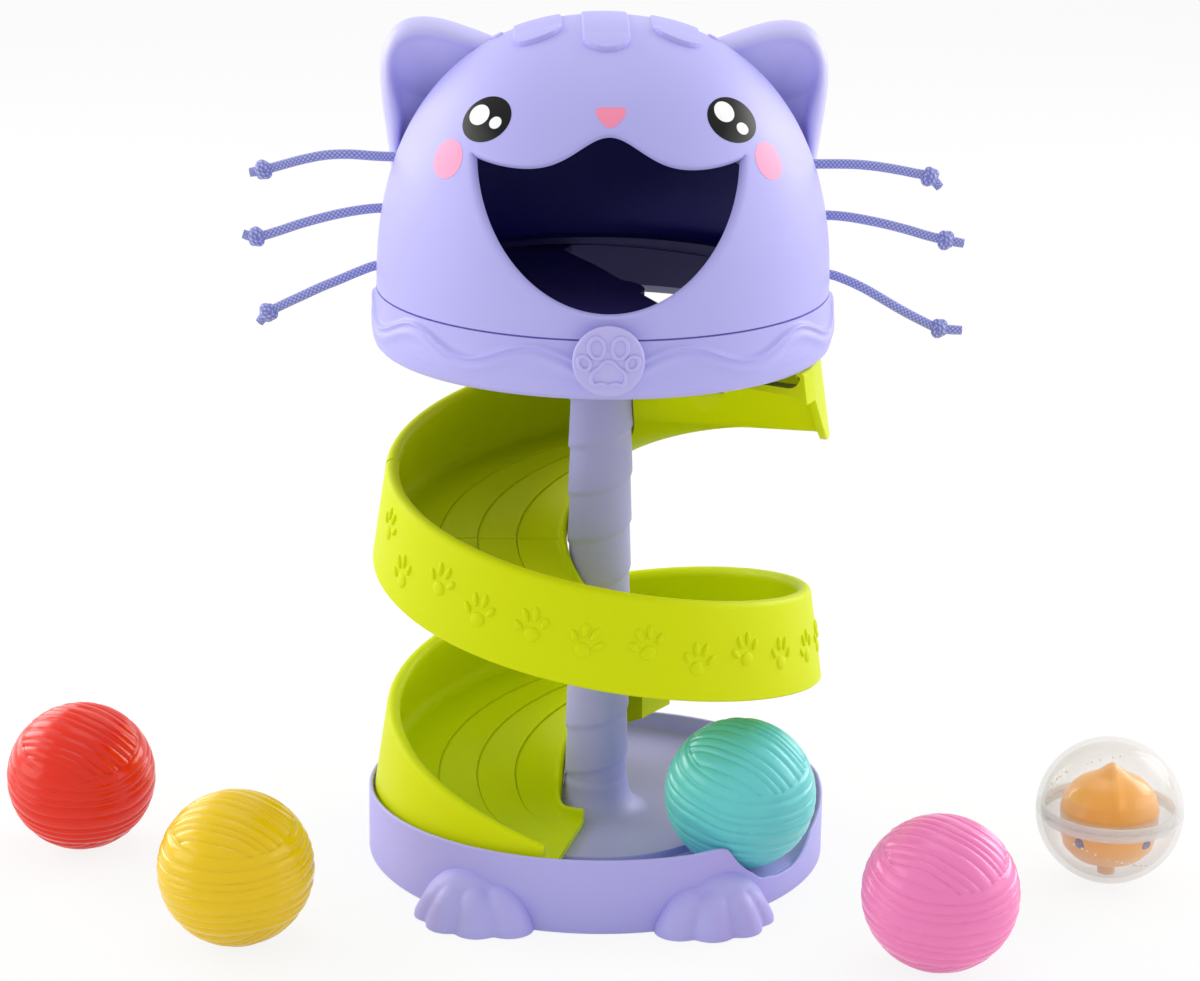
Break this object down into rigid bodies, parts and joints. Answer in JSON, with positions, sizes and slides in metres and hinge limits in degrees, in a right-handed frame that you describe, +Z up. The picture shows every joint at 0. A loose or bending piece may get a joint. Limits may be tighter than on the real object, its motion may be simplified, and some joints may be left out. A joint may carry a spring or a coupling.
{
  "type": "ball track toy",
  "caption": "Cat-headed ball track tower: a ball put in at the mouth rolls down a spiral track into a tray and out through a notch; cord whiskers, loose balls beside it.",
  "frame": {"origin": "on the ground under the axis of the tower's post", "axes": "+Z up along the post, -Y towards the front of the face, +X to the right as the face is seen from the front"},
  "size_m": [0.4561, 0.2299, 0.3282],
  "materials": {
    "lavender_plastic": "satin",
    "lime_plastic": "satin",
    "whisker_cord": "braided",
    "screw_steel": "satin",
    "red_ball": "gloss",
    "yellow_ball": "gloss",
    "teal_ball": "gloss",
    "pink_ball": "gloss",
    "clear_plastic": "clear",
    "fish_orange": "gloss"
  },
  "bodies": {
    "tower": {"base_tray": "lavender_plastic", "post": "lavender_plastic", "lower_track": "lime_plastic", "middle_track": "lime_plastic", "upper_track": "lime_plastic", "hopper": "lavender_plastic", "collar": "lavender_plastic", "head_shell": "lavender_plastic", "collar_tag": "lavender_plastic", "whisker_left_top": "whisker_cord", "whisker_left_middle": "whisker_cord", "whisker_left_bottom": "whisker_cord", "whisker_right_top": "whisker_cord", "whisker_right_middle": "whisker_cord", "whisker_right_bottom": "whisker_cord", "base_screws": "screw_steel", "head_screws": "screw_steel"},
    "red": {"red_ball": "red_ball"},
    "yellow": {"yellow_ball": "yellow_ball"},
    "teal": {"teal_ball": "teal_ball"},
    "pink": {"pink_ball": "pink_ball"},
    "clear": {"clear_ball_upper": "clear_plastic", "clear_ball_lower": "clear_plastic", "fish": "fish_orange"}
  },
  "joints": [
    {"name": "red_lift", "type": "slide", "parent": "tower", "child": "red", "axis": [0, 0, 1], "range_m": [0, 0.24]},
    {"name": "yellow_lift", "type": "slide", "parent": "tower", "child": "yellow", "axis": [0, 0, 1], "range_m": [0, 0.24]},
    {"name": "pink_lift", "type": "slide", "parent": "tower", "child": "pink", "axis": [0, 0, 1], "range_m": [0, 0.24]},
    {"name": "clear_lift", "type": "slide", "parent": "tower", "child": "clear", "axis": [0, 0, 1], "range_m": [0, 0.24]},
    {"name": "teal_roll_out", "type": "slide", "parent": "tower", "child": "teal", "axis": [0.9659, -0.2588, 0], "range_m": [0, 0.045]}
  ]
}
